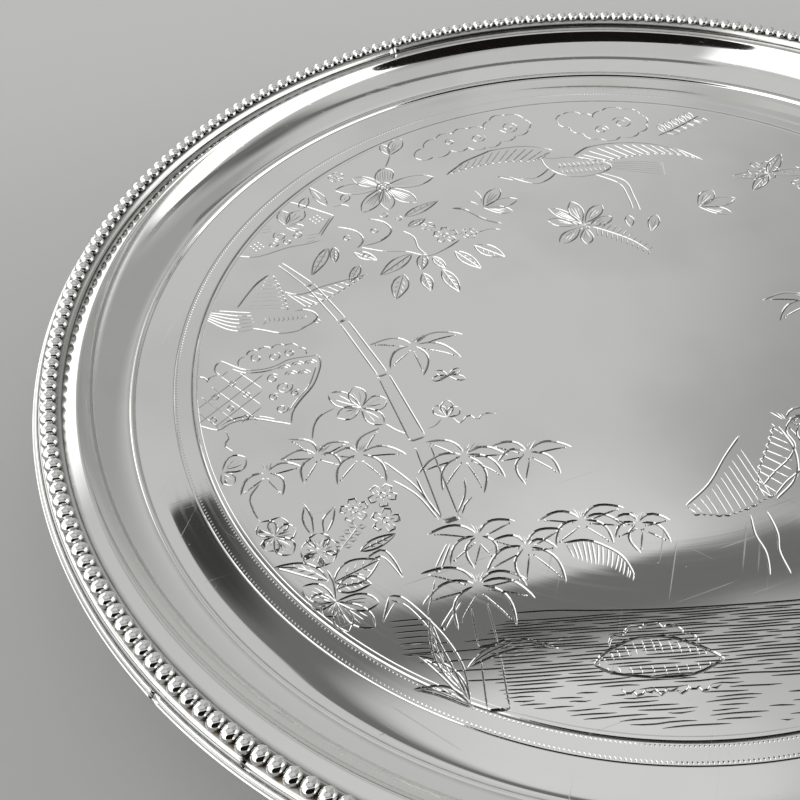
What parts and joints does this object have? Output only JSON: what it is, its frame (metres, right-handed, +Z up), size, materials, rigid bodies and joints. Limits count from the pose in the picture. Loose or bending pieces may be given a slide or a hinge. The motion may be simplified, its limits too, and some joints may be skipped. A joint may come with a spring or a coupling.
{
  "type": "silver salver",
  "caption": "Round footed silver salver with a beaded border, a stepped cavetto and a flat engraved well, used as a tray.",
  "frame": {"origin": "centre of the tray, on the surface that the feet stand on", "axes": "+Z up along the tray's axis; +Y points away from the camera's side of the picture, +X to its right"},
  "size_m": [0.3046, 0.3046, 0.0344],
  "materials": {
    "engraved_plate": "polished silver, softly worn, bright-cut engraving",
    "beaded_border": "polished silver, dark oxide between the beads",
    "edge_wire": "polished silver wire",
    "cast_feet": "cast and polished silver"
  },
  "bodies": {
    "root": {"salver_plate": "engraved_plate", "bead_strip_1": "beaded_border", "bead_strip_2": "beaded_border", "bead_strip_3": "beaded_border", "edge_wire": "edge_wire", "foot_1": "cast_feet", "foot_2": "cast_feet", "foot_3": "cast_feet"}
  },
  "joints": []
}
